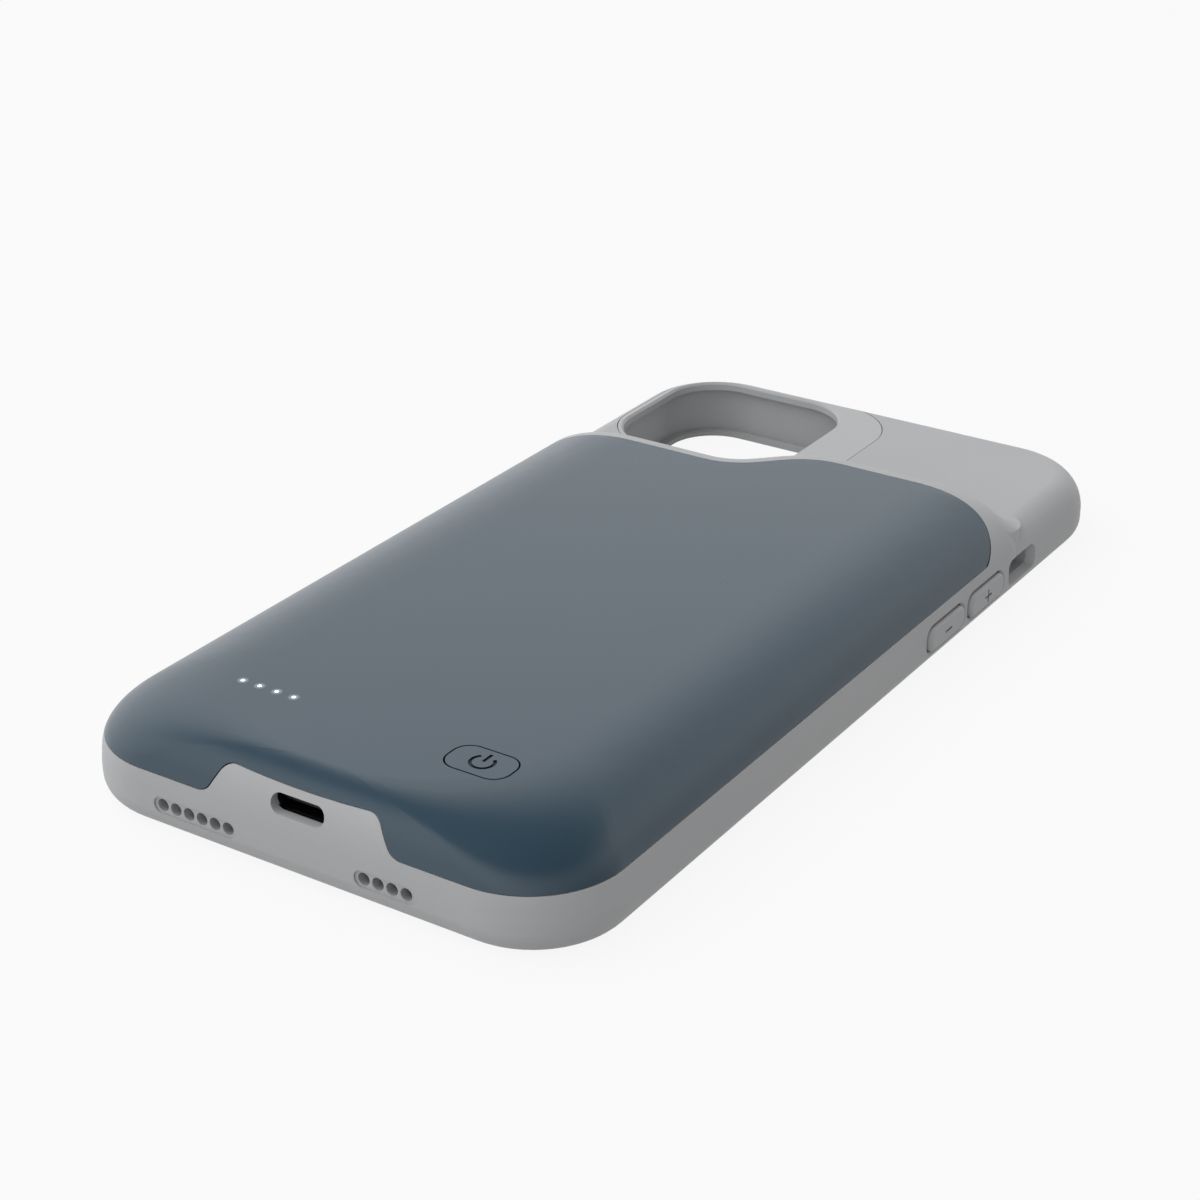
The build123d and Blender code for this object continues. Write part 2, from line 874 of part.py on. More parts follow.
def make_cell_tape():
    """Adhesive sheet below the cell and its small board."""
    high = cell_end_y + cell_length
    half = cell_half_width - cell_corner
    return block(-half, half, protection_low_y, high, tray_top, cell_floor)


def make_cell_protection_board():
    """Narrow board across the end of the cell."""
    half = protection_length / 2
    high = protection_low_y + protection_depth
    return block(-half, half, protection_low_y, high, cell_floor, cell_floor + board_thickness)


def make_cell_leads():
    """Two leads from the cell's board to the main board."""
    low_z = cell_floor + board_thickness + lead_diameter / 2 + lead_lift
    high_z = board_top + lead_diameter / 2 + lead_lift
    start_y = protection_low_y + lead_landing
    end = board_far_y - lead_landing
    leads = []
    for x in lead_x:
        bend = lead_diameter
        path = FilletPolyline(
            (x, start_y, low_z),
            (x, protection_low_y - bend / 2, low_z),
            (x, board_far_y + bend / 2, high_z),
            (x, end, high_z),
            radius=bend,
        )
        profile = Plane(origin=path @ 0, z_dir=path % 0) * Circle(lead_diameter / 2)
        leads.append(sweep(profile, path=path))
    return leads


def make_bay_plug():
    """Flat metal plug with round sides that reaches into the bay."""
    low = bay_end_y - pocket_wall_inner
    plug = end_slot(plug_width, plug_thickness, low, bay_end_y + plug_length, 0, bay_mid_z)
    plug = fillet(plug.faces().sort_by(Axis.Y)[-1].edges(), plug_tip)
    for contact in make_plug_contacts():
        plug -= contact
    return plug


def make_plug_contacts():
    """Gold contacts on both faces of the plug."""
    high_y = bay_end_y + plug_length - contact_tip_gap
    first = -contact_spacing * (contact_count - 1) / 2
    face = plug_thickness / 2
    contacts = []
    for side in (-1, 1):
        z_edges = sorted((bay_mid_z + side * face, bay_mid_z + side * (face - contact_depth)))
        for place in range(contact_count):
            x = first + contact_spacing * place
            half = contact_width / 2
            contacts.append(block(x - half, x + half, high_y - contact_length, high_y, *z_edges))
    return contacts


def make_plug_carrier():
    """Moulded block in the chin that carries the plug."""
    return block(
        -carrier_half_width,
        carrier_half_width,
        end_y + pocket_wall_outer,
        bay_end_y - pocket_wall_inner,
        bay_mid_z - pocket_depth_below,
        bay_mid_z - pocket_depth_below + carrier_height,
    )


def make_plug_flex():
    """Flexible strip from the plug carrier up to the main board."""
    low_x = flex_x - flex_width / 2
    high_x = flex_x + flex_width / 2
    back_y = tray_end_y - carrier_gap
    front_y = back_y - flex_thickness
    carrier_top = bay_mid_z - pocket_depth_below + carrier_height
    rise = block(low_x, high_x, front_y, back_y, carrier_top, board_floor)
    landing = block(low_x, high_x, front_y, back_y + flex_landing, board_floor - flex_thickness, board_floor)
    return rise + landing


def save(name, shape):
    """Write one node: one solid, or a group of separate solids."""
    solids = shape if isinstance(shape, list) else [shape]
    found = [solid for piece in solids for solid in piece.solids()]
    whole = found[0] if len(found) == 1 else Compound(found)
    export_step(whole, f"parts/{name}.step")


def main():
    os.makedirs("parts", exist_ok=True)
    band = band_form()
    bulge = bulge_form(0, case_height, (rim_strip, rim_strip + rim_run))
    hollow = bulge_form(cover_wall, cover_ceiling, (-cover_wall, -cover_wall))
    minus_y, plus_y = key_places()
    save("soft_frame", make_soft_frame(band, bulge, hollow))
    save("battery_cover", make_battery_cover(bulge, hollow))
    save("camera_surround", make_camera_surround(band))
    save("inner_tray", make_inner_tray())
    save("power_button", make_power_button(bulge))
    save("volume_up_key", make_key(key_length, plus_y, 1))
    save("volume_down_key", make_key(key_length, minus_y, 1))
    save("side_key", make_key(side_key_length, side_key_y, -1))
    save("light_guide", make_light_guide())
    for number, lamp in enumerate(make_leds(), start=1):
        save(f"led_{number}", lamp)
    save("main_board", make_main_board())
    save("port_shell", make_port_shell())
    save("port_tongue", make_port_tongue())
    save("power_switch", make_power_switch())
    save("charge_controller", make_charge_controller())
    save("boost_inductor", make_boost_inductor())
    save("board_capacitors", make_board_capacitors())
    save("battery_cell", make_battery_cell())
    save("cell_tape", make_cell_tape())
    save("cell_protection_board", make_cell_protection_board())
    save("cell_leads", make_cell_leads())
    save("bay_plug", make_bay_plug())
    save("plug_contacts", make_plug_contacts())
    save("plug_carrier", make_plug_carrier())
    save("plug_flex", make_plug_flex())


main()
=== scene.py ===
# %% [markdown]
# A battery charging case, dressed for the camera.
# The solids come in as a fixed frame, already at their real size and place, so this lesson is
# about surfaces: what each piece is made of, how that was made, and how Blender can show it.
# Everything is in metres. X points to the volume keys, Y to the camera end, Z out of the back.

# %% Load the frame
import math
import bmesh
import bpy
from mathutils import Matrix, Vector


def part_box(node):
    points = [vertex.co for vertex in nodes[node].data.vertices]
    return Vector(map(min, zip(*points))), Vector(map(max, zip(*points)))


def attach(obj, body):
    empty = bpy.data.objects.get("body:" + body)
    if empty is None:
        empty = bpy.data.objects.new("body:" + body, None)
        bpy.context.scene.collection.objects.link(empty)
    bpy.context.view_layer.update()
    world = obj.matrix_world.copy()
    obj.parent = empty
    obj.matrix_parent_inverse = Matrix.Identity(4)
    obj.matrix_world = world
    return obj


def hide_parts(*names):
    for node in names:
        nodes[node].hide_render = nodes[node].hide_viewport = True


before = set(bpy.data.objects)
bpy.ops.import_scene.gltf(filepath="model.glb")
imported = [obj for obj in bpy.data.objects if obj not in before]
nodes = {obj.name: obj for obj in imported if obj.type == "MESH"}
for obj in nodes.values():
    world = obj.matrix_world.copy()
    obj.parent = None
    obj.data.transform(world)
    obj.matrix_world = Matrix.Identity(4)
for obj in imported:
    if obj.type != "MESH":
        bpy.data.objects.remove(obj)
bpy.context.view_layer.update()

MM = 0.001

# %% [markdown]
# Colours are easiest to pick as sRGB hex values, the way a paint chart or an image editor gives
# them. Shaders work in linear light, so one function turns the first into the second.
# A second function adds a shader node, sets it and links it. Every material below is a short list
# of such calls, which keeps the recipe readable from the first node to the last.

# %% Helpers for colour and shader nodes
def linear(hex_colour):
    """Linear RGBA of an sRGB hex value such as '#3A4856'."""
    channels = [int(hex_colour[i:i + 2], 16) / 255 for i in (1, 3, 5)]
    curve = [c / 12.92 if c <= 0.04045 else ((c + 0.055) / 1.055) ** 2.4 for c in channels]
    return (*curve, 1.0)


def add_node(tree, kind, settings=(), links=()):
    """Add a node, set its properties or sockets, and link sockets to sources."""
    node = tree.nodes.new(kind)
    for name, value in dict(settings).items():
        if isinstance(name, str) and hasattr(node, name):
            setattr(node, name, value)
        else:
            node.inputs[name].default_value = value
    for name, source in dict(links).items():
        tree.links.new(source, node.inputs[name])
    return node


def new_material(name):
    """An empty node material, with the coordinates of the frame in metres."""
    material = bpy.data.materials.new(name)
    material.use_nodes = True
    material.cycles.emission_sampling = "NONE"  # a glow here is there to be seen, not to light
    tree = material.node_tree
    tree.nodes.clear()
    place = add_node(tree, "ShaderNodeTexCoord").outputs["Object"]
    return material, tree, place


def dress(material, *names):
    """Give CAD nodes this material."""
    for name in names:
        nodes[name].data.materials.clear()
        nodes[name].data.materials.append(material)
    print(material.name, "on", ", ".join(names))


print("mid grey #808080 is", round(linear("#808080")[0], 3), "in linear light")

# %% [markdown]
# Hardly any real surface is one flat colour. Two things are true of nearly all of them here: the
# tone wanders a little over centimetres, and a fine grain breaks up the gloss. An image could
# carry both, but it would need unwrapping and would blur in a close view. So both come from a
# noise texture whose scale is one over a real size, and the pattern keeps its size on any piece.

# %% Tone that wanders, and grain
TONE_DETAIL = 2.0
GRAIN_DETAIL = 3.0
RELIEF_STRENGTH = 0.5


def wandering_tone(tree, place, tones, size):
    """Colour between two hex tones, in soft patches of about this size."""
    spread = {"Scale": 1 / size, "Detail": TONE_DETAIL}
    patches = add_node(tree, "ShaderNodeTexNoise", spread, {"Vector": place})
    pair = {"data_type": "RGBA", "A": linear(tones[0]), "B": linear(tones[1])}
    tone = add_node(tree, "ShaderNodeMix", pair, {"Factor": patches.outputs["Fac"]})
    return tone.outputs["Result"]


def fine_grain(tree, place, size, rough, height):
    """Roughness and relief from one grain, as links for a shader."""
    spread = {"Scale": 1 / size, "Detail": GRAIN_DETAIL}
    grain = add_node(tree, "ShaderNodeTexNoise", spread, {"Vector": place})
    span = {"To Min": rough[0], "To Max": rough[1]}
    dull = add_node(tree, "ShaderNodeMapRange", span, {"Value": grain.outputs["Fac"]})
    tilt = {"Strength": RELIEF_STRENGTH, "Distance": height}
    relief = add_node(tree, "ShaderNodeBump", tilt, {"Height": grain.outputs["Fac"]})
    return {"Roughness": dull.outputs["Result"], "Normal": relief.outputs["Normal"]}


def plain_surface(name, tones, drift, grain, rough, height, settings):
    """A material with one wandering tone and one grain; settings go on the shader."""
    material, tree, place = new_material(name)
    links = fine_grain(tree, place, grain, rough, height)
    links["Base Color"] = wandering_tone(tree, place, tones, drift)
    shader = add_node(tree, "ShaderNodeBsdfPrincipled", settings, links)
    add_node(tree, "ShaderNodeOutputMaterial", (), {"Surface": shader.outputs["BSDF"]})
    return material


print("a grain of half a millimetre needs a noise scale of", round(1 / (0.5 * MM)))

# %% [markdown]
# The bumper is thermoplastic polyurethane, TPU, injection moulded in a tool with a fine
# spark-eroded texture. That gives the eye a matte, slightly dry grey that is never quite even: a
# grain of about a third of a millimetre, and a slow drift in tone where the melt cooled at
# different speeds. Real dents could make the grain, but at this size the eye sees only how they
# scatter the light, so a bump does as well.
# The keys are pads of the same melt, so they take the same material.

# %% Moulded TPU
TPU_GREYS = ("#A3A4A6", "#AAABAC")

tpu = plain_surface(
    "TPU_moulded_in_a_spark_eroded_tool",
    TPU_GREYS,
    drift=28 * MM,
    grain=0.35 * MM,
    rough=(0.44, 0.58),
    height=0.004 * MM,
    settings={"IOR": 1.5},
)
dress(tpu, "soft_frame", "volume_up_key", "volume_down_key", "side_key")

# %% [markdown]
# The battery cover is polycarbonate with a sprayed soft-touch lacquer. The lacquer is a dark slate
# blue with a satin skin: face on it looks deep, and at a flat angle it picks up a grey veil from
# the room. A plain dielectric does this by itself, so the recipe keeps the base dark and lets the
# shader's own Fresnel make the veil. Spray leaves no grain but a faint orange peel, a few
# millimetres wide, so the grain here is that wide and very shallow.
# Round each lit pin the lacquer carries a painted glow: emission that stands in for light seeping
# sideways from the pin. Distance to the pin's axis, faded out over a millimetre, gives that glow,
# and the lamps' own boxes say where the pins are.

# %% Soft-touch lacquer on polycarbonate
LACQUER_BLUES = ("#2B404E", "#2F4452")
LAMP_WHITE = "#EAF4FF"
GLOW_CORE = 0.3 * MM
GLOW_REACH = 0.9 * MM
GLOW_LEVEL = 0.3
lamp_names = [name for name in sorted(nodes) if name.startswith("led_")]
lamp_axes = [sum(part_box(name), Vector()) / 2 for name in lamp_names]


def painted_glow_round_pins(tree, place, core, reach, level):
    """Painted glow round the pins' axes: full inside the core, none past the reach."""
    flatten = {"operation": "MULTIPLY", 1: (1.0, 1.0, 0.0)}
    flat = add_node(tree, "ShaderNodeVectorMath", flatten, {0: place}).outputs["Vector"]
    fade = {"interpolation_type": "SMOOTHSTEP", "From Min": reach, "From Max": core, "To Max": level}
    glow = None
    for axis in lamp_axes:
        foot = {"operation": "DISTANCE", 1: (axis.x, axis.y, 0.0)}
        away = add_node(tree, "ShaderNodeVectorMath", foot, {0: flat}).outputs["Value"]
        near = add_node(tree, "ShaderNodeMapRange", fade, {"Value": away}).outputs["Result"]
        if glow is None:
            glow = near
        else:
            both = {0: glow, 1: near}
            glow = add_node(tree, "ShaderNodeMath", {"operation": "MAXIMUM"}, both).outputs["Value"]
    return glow


def soft_touch_lacquer():
    material, tree, place = new_material("polycarbonate_with_sprayed_soft_touch_lacquer")
    links = fine_grain(tree, place, size=2.6 * MM, rough=(0.25, 0.28), height=0.002 * MM)
    links["Base Color"] = wandering_tone(tree, place, LACQUER_BLUES, size=35 * MM)
    # painted glow: the lacquer itself emits light round each pin
    links["Emission Strength"] = painted_glow_round_pins(tree, place, GLOW_CORE, GLOW_REACH, GLOW_LEVEL)
    settings = {"IOR": 1.55, "Emission Color": linear(LAMP_WHITE)}
    shader = add_node(tree, "ShaderNodeBsdfPrincipled", settings, links)
    add_node(tree, "ShaderNodeOutputMaterial", (), {"Surface": shader.outputs["BSDF"]})
    return material


lacquer = soft_touch_lacquer()
dress(lacquer, "battery_cover", "power_button")

# %% [markdown]
# The button carries a power sign, and the volume keys a plus and a minus. All three are sunk lines,
# as a tool with raised lettering would mould them, and their floors are painted darker: painted
# shade that deepens the lines. A bump or a painted mask would look flat in a close view, so the
# lines are really cut: each sign is drawn as flat outlines, raised into a cutter, and taken out of a
# copy of the node with a
# Boolean. The imported mesh has split vertices along its edges, so the copy is welded first.

# %% Outlines of the signs, in millimetres
POWER_STROKE = 0.46
RING_RADIUS = 1.54
RING_HALF_GAP = math.radians(40)
RING_STEPS = 48
BAR_LOW = 0.12
BAR_HIGH = 2.05
KEY_STROKE = 0.36
PLUS_REACH = 1.02
MINUS_REACH = 1.0


def rectangle(low_u, low_v, high_u, high_v):
    return [(low_u, low_v), (high_u, low_v), (high_u, high_v), (low_u, high_v)]


def power_sign():
    """An open ring and the bar in its gap."""
    half = POWER_STROKE / 2
    turn = 2 * (math.pi - RING_HALF_GAP)
    angles = [math.pi / 2 + RING_HALF_GAP + turn * i / RING_STEPS for i in range(RING_STEPS + 1)]
    wide, narrow = RING_RADIUS + half, RING_RADIUS - half
    outer = [(wide * math.cos(a), wide * math.sin(a)) for a in angles]
    inner = [(narrow * math.cos(a), narrow * math.sin(a)) for a in reversed(angles)]
    return [outer + inner, rectangle(-half, BAR_LOW, half, BAR_HIGH)]


def plus_sign():
    half = KEY_STROKE / 2
    corner = [(PLUS_REACH, -half), (PLUS_REACH, half), (half, half)]
    turns = [(1, 0, 0, 1), (0, -1, 1, 0), (-1, 0, 0, -1), (0, 1, -1, 0)]
    return [[(a * u + b * v, c * u + d * v) for a, b, c, d in turns for u, v in corner]]


def minus_sign():
    half = KEY_STROKE / 2
    return [rectangle(-MINUS_REACH, -half, MINUS_REACH, half)]


print("sign points:", len(power_sign()[0]), len(plus_sign()[0]), len(minus_sign()[0]))

# %% A welded copy of a node, and a cutter for its sign
SIGN_DEPTH = 0.18 * MM
CUTTER_HEIGHT = 3 * SIGN_DEPTH
WELD = 1e-7


def welded_copy(name, node):
    """Mesh of a node with its split vertices joined."""
    work = bmesh.new()
    work.from_mesh(nodes[node].data)
    bmesh.ops.remove_doubles(work, verts=work.verts, dist=WELD)
    work.verts.index_update()
    mesh = bpy.data.meshes.new(name)
    places = [vert.co.copy() for vert in work.verts]
    mesh.from_pydata(places, [], [[vert.index for vert in face.verts] for face in work.faces])
    work.free()
    return mesh


def sign_cutter(outlines, centre, across, up):
    """Closed bodies that stand in the surface along the outlines."""
    outward = across.cross(up)
    work = bmesh.new()
    for outline in outlines:
        foot = centre - outward * SIGN_DEPTH
        corners = [work.verts.new(foot + across * u * MM + up * v * MM) for u, v in outline]
        raised = bmesh.ops.extrude_face_region(work, geom=[work.faces.new(corners)])["geom"]
        tops = [part for part in raised if isinstance(part, bmesh.types.BMVert)]
        bmesh.ops.translate(work, vec=outward * CUTTER_HEIGHT, verts=tops)
    bmesh.ops.recalc_face_normals(work, faces=work.faces)
    mesh = bpy.data.meshes.new("sign_cutter")
    work.to_mesh(mesh)
    work.free()
    cutter = bpy.data.objects.new("sign_cutter", mesh)
    bpy.context.scene.collection.objects.link(cutter)
    return cutter


print("signs go", round(SIGN_DEPTH / MM, 2), "mm deep")

# %% Painted shade for the signs
SIGN_SHADE_FINISH = {
    "drift": 3 * MM,
    "grain": 0.2 * MM,
    "rough": (0.5, 0.65),
    "height": 0.002 * MM,
    "settings": {"IOR": 1.5},
}

# Painted shade: the floors of the sunk lines are painted dark, so they look darker than their depth
# alone would make them.
button_sign_shade = plain_surface("painted_shade_deep_blue", ("#0E1A26", "#13202C"), **SIGN_SHADE_FINISH)
key_sign_shade = plain_surface("painted_shade_mid_grey", ("#86888B", "#8C8E91"), **SIGN_SHADE_FINISH)
print("painted_sign_shades:", button_sign_shade.name, "and", key_sign_shade.name)

# %% Button and keys with their signs
X, Y, Z = Vector((1, 0, 0)), Vector((0, 1, 0)), Vector((0, 0, 1))
POWER_SIGN_SHIFT = Vector((0.06, 0.07, 0.0)) * MM
SHARP_ANGLE = math.radians(30)


def settle(piece):
    """Apply a piece's modifiers to its mesh."""
    shown = piece.evaluated_get(bpy.context.evaluated_depsgraph_get())
    mesh = bpy.data.meshes.new_from_object(shown)
    piece.modifiers.clear()
    piece.data = mesh
    return mesh


def engrave(name, node, finish, sign_shade, outlines, centre, across, up):
    """A copy of the node with the sign sunk into it, in place of the node."""
    piece = bpy.data.objects.new(name, welded_copy(name, node))
    bpy.context.scene.collection.objects.link(piece)
    piece.data.materials.append(finish)
    cutter = sign_cutter(outlines, centre, across, up)
    # the cut faces of the sign take the painted shade
    cutter.data.materials.append(sign_shade)
    cut = piece.modifiers.new("sign", "BOOLEAN")
    cut.operation = "DIFFERENCE"
    cut.solver = "EXACT"
    cut.material_mode = "TRANSFER"
    cut.object = cutter
    mesh = settle(piece)
    bpy.data.objects.remove(cutter)
    mesh.shade_smooth()
    mesh.set_sharp_from_angle(angle=SHARP_ANGLE)
    piece.modifiers.new("even_normals", "WEIGHTED_NORMAL").keep_sharp = True
    mesh = settle(piece)
    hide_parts(node)
    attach(piece, node + "_body")
    print(name, "has", len(mesh.polygons), "faces in", len(mesh.materials), "finishes")


low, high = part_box("power_button")
top = Vector(((low.x + high.x) / 2, (low.y + high.y) / 2, high.z)) + POWER_SIGN_SHIFT
engrave(
    "power_button_with_sign", "power_button",
    lacquer, button_sign_shade, power_sign(), top, X, Y,
)
for key, sign in (("volume_up_key", plus_sign()), ("volume_down_key", minus_sign())):
    low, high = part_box(key)
    face = Vector((high.x, (low.y + high.y) / 2, (low.z + high.z) / 2))
    engrave(key + "_with_sign", key, tpu, key_sign_shade, sign, face, Y, Z)

# %% [markdown]
# Four small lamps sit on the board, and a moulded acrylic guide carries their light up through the
# cover in four pins. Acrylic bends light much as glass does, with an index of 1.49. Following the
# light from the lamps through the pins would take very many samples, so the last half millimetre
# of each pin glows by itself, brightest on its axis, which is what the eye sees of a lit pin.

# %% Clear acrylic and lamp ceramic
PIN_GLOW = 2.6
PIN_CORE = 0.14 * MM
PIN_EDGE = 0.4 * MM
PIN_GLOW_DEPTH = 0.4 * MM
PIN_FADE_DEPTH = 1.5 * PIN_GLOW_DEPTH


def clear_acrylic():
    material, tree, place = new_material("acrylic_moulded_clear")
    links = fine_grain(tree, place, size=0.5 * MM, rough=(0.04, 0.12), height=0.001 * MM)
    links["Base Color"] = wandering_tone(tree, place, ("#F2F6F8", "#FAFCFD"), size=6 * MM)
    height = add_node(tree, "ShaderNodeSeparateXYZ", (), {"Vector": place})
    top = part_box("light_guide")[1].z
    fade = {"From Min": top - PIN_FADE_DEPTH, "From Max": top - PIN_GLOW_DEPTH}
    lit = add_node(tree, "ShaderNodeMapRange", fade, {"Value": height.outputs["Z"]})
    both = {0: lit.outputs["Result"], 1: painted_glow_round_pins(tree, place, PIN_CORE, PIN_EDGE, PIN_GLOW)}
    glow = add_node(tree, "ShaderNodeMath", {"operation": "MULTIPLY"}, both)
    links["Emission Strength"] = glow.outputs["Value"]
    settings = {"IOR": 1.49, "Transmission Weight": 1.0, "Emission Color": linear(LAMP_WHITE)}
    shader = add_node(tree, "ShaderNodeBsdfPrincipled", settings, links)
    add_node(tree, "ShaderNodeOutputMaterial", (), {"Surface": shader.outputs["BSDF"]})
    return material


# Pale fired ceramic with a yellow phosphor cast; lit, so it gives a little light of its own.
lamp_ceramic = plain_surface(
    "lamp_ceramic_fired_with_phosphor",
    ("#E9E4CF", "#F1EEDF"),
    drift=0.8 * MM,
    grain=0.15 * MM,
    rough=(0.35, 0.5),
    height=0.002 * MM,
    settings={"IOR": 1.55, "Emission Color": linear("#FFF6E0"), "Emission Strength": 0.8},
)
dress(clear_acrylic(), "light_guide")
dress(lamp_ceramic, *lamp_names)

# %% [markdown]
# Two firm mouldings hide inside the soft bumper. The frame round the camera opening is
# polycarbonate from a tool with a fine texture, a touch cooler and glossier than the bumper. The
# tray that carries the battery is ABS, with the coarser texture of a part nobody looks at. One
# recipe with other numbers serves for both, because such plastics differ more in tone and grain
# than in kind.

# %% Polycarbonate surround and ABS tray
surround_finish = plain_surface(
    "polycarbonate_moulded_fine_texture",
    ("#A2A4A6", "#A9ABAC"),
    drift=22 * MM,
    grain=0.25 * MM,
    rough=(0.38, 0.5),
    height=0.003 * MM,
    settings={"IOR": 1.58},
)
tray_finish = plain_surface(
    "ABS_moulded_coarse_texture",
    ("#878A8C", "#939597"),
    drift=30 * MM,
    grain=0.5 * MM,
    rough=(0.45, 0.65),
    height=0.008 * MM,
    settings={"IOR": 1.54},
)
dress(surround_finish, "camera_surround")
dress(tray_finish, "inner_tray")

# %% [markdown]
# The charging port is a drawn steel shell with a black tongue, and the plug in the bay is its
# mate. Metals take their colour from the base colour and keep the default index. The port's shell
# is dark plated, and its dark tone is partly painted shade, so that from outside the slot reads as a
# black opening with a thin bright rim.
# Lines could be drawn into the steel, but drawn and stamped sheet shows hardly any, so a fine
# even grain in the gloss is enough.

# %% Plated steel, stainless steel and gold
# dark plating, kept darker than bare steel as painted shade for the inside of the slot
dark_plating_and_painted_shade = plain_surface(
    "steel_drawn_dark_plated_and_painted_shade",
    ("#4A4B4D", "#58595B"),
    drift=4 * MM,
    grain=0.2 * MM,
    rough=(0.3, 0.45),
    height=0.001 * MM,
    settings={"Metallic": 1.0},
)
stainless = plain_surface(
    "stainless_steel_stamped",
    ("#B4B6B8", "#BEC0C1"),
    drift=3 * MM,
    grain=0.15 * MM,
    rough=(0.22, 0.36),
    height=0.001 * MM,
    settings={"Metallic": 1.0},
)
gold = plain_surface(
    "copper_alloy_gold_plated",
    ("#DDB660", "#E6C274"),
    drift=2 * MM,
    grain=0.1 * MM,
    rough=(0.18, 0.3),
    height=0.001 * MM,
    settings={"Metallic": 1.0},
)
dress(dark_plating_and_painted_shade, "port_shell")
dress(stainless, "bay_plug", "power_switch")
dress(gold, "plug_contacts")

# %% [markdown]
# The tongue is liquid crystal polymer, black and satin, with gold contacts set flush into its two
# broad faces at half-millimetre steps. They are too thin to model one by one and lie flush anyway,
# so a wave texture draws them: at scale 1 its bands repeat every pi/10, and the scale follows from
# the real step. The surface normal keeps them off the tongue's edges.

# %% Contacts in the tongue, and the nylon carrier
WAVE_REPEAT = math.pi / 10
CONTACT_STEP = 0.5 * MM
CONTACT_FROM = 0.5  # of the wave, so metal and gap are equally wide
CONTACT_GOLD = "#E2BC6B"


def tongue_polymer():
    material, tree, place = new_material("LCP_moulded_with_gold_contacts")
    step = {"wave_type": "BANDS", "bands_direction": "X", "Scale": WAVE_REPEAT / CONTACT_STEP}
    bands = add_node(tree, "ShaderNodeTexWave", step, {"Vector": place})
    cut = {"operation": "GREATER_THAN", 1: CONTACT_FROM}
    strip = add_node(tree, "ShaderNodeMath", cut, {0: bands.outputs["Fac"]})
    facing = add_node(tree, "ShaderNodeSeparateXYZ", (), {
        "Vector": add_node(tree, "ShaderNodeNewGeometry").outputs["Normal"],
    })
    broad = add_node(tree, "ShaderNodeMath", {"operation": "ABSOLUTE"}, {0: facing.outputs["Z"]})
    both = {0: strip.outputs["Value"], 1: broad.outputs["Value"]}
    times = {"operation": "MULTIPLY", "use_clamp": True}
    metal = add_node(tree, "ShaderNodeMath", times, both).outputs["Value"]
    tone = add_node(tree, "ShaderNodeMix", {"data_type": "RGBA", "B": linear(CONTACT_GOLD)}, {
        "Factor": metal,
        "A": wandering_tone(tree, place, ("#17181A", "#1E1F21"), size=2 * MM),
    })
    links = fine_grain(tree, place, size=0.12 * MM, rough=(0.3, 0.45), height=0.001 * MM)
    links["Base Color"] = tone.outputs["Result"]
    links["Metallic"] = metal
    shader = add_node(tree, "ShaderNodeBsdfPrincipled", (), links)
    add_node(tree, "ShaderNodeOutputMaterial", (), {"Surface": shader.outputs["BSDF"]})
    return material


# Glass fibre in the nylon leaves a slightly streaky, dry black.
nylon = plain_surface(
    "nylon_moulded_glass_filled",
    ("#191A1C", "#232427"),
    drift=5 * MM,
    grain=0.3 * MM,
    rough=(0.45, 0.65),
    height=0.004 * MM,
    settings={"IOR": 1.53},
)
dress(tongue_polymer(), "port_tongue")
dress(nylon, "plug_carrier")

# %% [markdown]
# The cell is a flat pouch: aluminium foil laminated between plastic films. Pressed round the
# stack inside, the foil takes soft dents several millimetres wide, which its gloss makes visible.
# They could be sculpted, but they are shallow and hidden inside, so a wide bump stands for them.
# Black acrylic tape holds it to the tray, and two leads in PVC, one red and one black, join it to
# its protection board. The leads are one node, so their place across the case picks the colour.

# %% Pouch foil, tape and leads
LEAD_SPLIT = sum(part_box("cell_leads"), Vector()).x / 2
LEAD_REDS = ("#A31D1B", "#B32622")
LEAD_BLACKS = ("#1A1A1B", "#242425")
LEAD_DRIFT = 3 * MM

foil = plain_surface(
    "aluminium_foil_laminated_pouch",
    ("#B2B5B9", "#C0C3C6"),
    drift=18 * MM,
    grain=5 * MM,
    rough=(0.26, 0.42),
    height=0.12 * MM,
    settings={"Metallic": 1.0},
)
tape = plain_surface(
    "acrylic_tape_black",
    ("#18181A", "#212123"),
    drift=9 * MM,
    grain=0.6 * MM,
    rough=(0.5, 0.7),
    height=0.006 * MM,
    settings={"IOR": 1.48},
)


def lead_insulation():
    material, tree, place = new_material("PVC_extruded_lead_insulation")
    across = add_node(tree, "ShaderNodeSeparateXYZ", (), {"Vector": place})
    split = {"operation": "GREATER_THAN", 1: LEAD_SPLIT}
    side = add_node(tree, "ShaderNodeMath", split, {0: across.outputs["X"]})
    tone = add_node(tree, "ShaderNodeMix", {"data_type": "RGBA"}, {
        "Factor": side.outputs["Value"],
        "A": wandering_tone(tree, place, LEAD_REDS, LEAD_DRIFT),
        "B": wandering_tone(tree, place, LEAD_BLACKS, LEAD_DRIFT),
    })
    links = fine_grain(tree, place, size=0.2 * MM, rough=(0.3, 0.45), height=0.001 * MM)
    links["Base Color"] = tone.outputs["Result"]
    shader = add_node(tree, "ShaderNodeBsdfPrincipled", {"IOR": 1.53}, links)
    add_node(tree, "ShaderNodeOutputMaterial", (), {"Surface": shader.outputs["BSDF"]})
    return material


dress(foil, "battery_cell")
dress(tape, "cell_tape")
dress(lead_insulation(), "cell_leads")

# %% [markdown]
# The boards are glass-epoxy laminate under green solder mask. Where copper runs under the mask the
# green is lighter, so a brick texture with thin joints stands for the tracks: long runs with short
# cross links, 0.6 mm apart. The flex from the board to the plug is amber polyimide with copper
# tracks along it, which are bands of a wave texture.

# %% Solder mask and polyimide
TRACK_STEP = 0.6 * MM
TRACK_RUN = 4.2 * MM
TRACK_WIDTH = 0.16 * MM
TRACK_GREEN = "#2F7A48"
FLEX_STEP = 0.8 * MM
FLEX_COPPER = "#C98C34"


